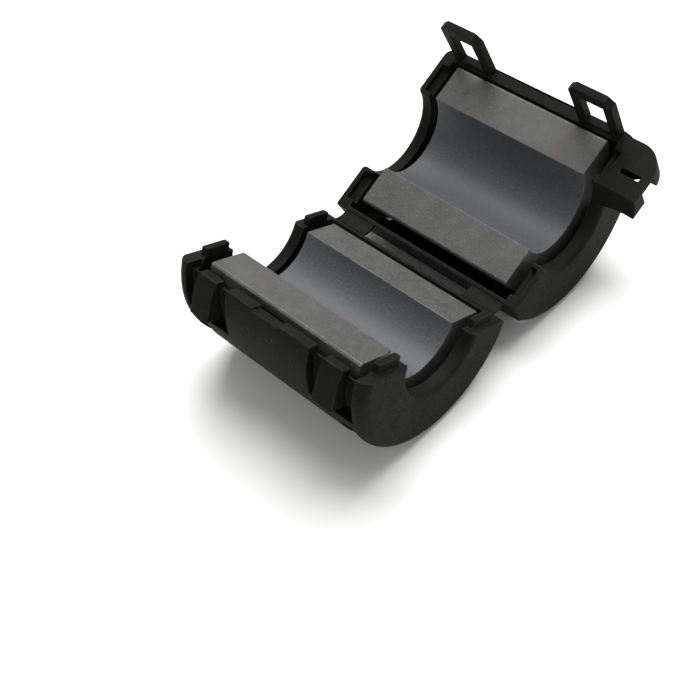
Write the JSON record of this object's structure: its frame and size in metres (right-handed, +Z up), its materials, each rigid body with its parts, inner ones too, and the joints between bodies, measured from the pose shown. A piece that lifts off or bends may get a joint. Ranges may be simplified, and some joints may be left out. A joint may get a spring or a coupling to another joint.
{
  "type": "clip-on ferrite bead",
  "caption": "Round clip-on ferrite bead, lying open: a hinged black nylon case with snap latches and a cable-tie anchor, round a split grey ferrite core.",
  "frame": {"origin": "centre of the catch half's bore", "axes": "+X along the cable bore towards the end with the cable-tie anchor, +Y across the hinge towards the latch half, +Z up"},
  "size_m": [0.0404, 0.0626, 0.0313],
  "materials": {
    "case_nylon": "matte moulded black nylon",
    "ferrite": "ground and tumbled dark grey ferrite ceramic"
  },
  "bodies": {
    "catch_half": {"case_half_catch": "case_nylon", "ferrite_core_catch": "ferrite", "hinge_strap_far": "case_nylon", "hinge_strap_near": "case_nylon"},
    "latch_half": {"case_half_latch": "case_nylon", "ferrite_core_latch": "ferrite"}
  },
  "joints": [
    {"name": "hinge_open", "type": "hinge", "parent": "catch_half", "child": "latch_half", "pos_m": [0, 0.0145, -0.00676], "axis": [-1, 0, 0], "range_deg": [-130, 50], "deforming": ["hinge_strap_far", "hinge_strap_near"]}
  ]
}
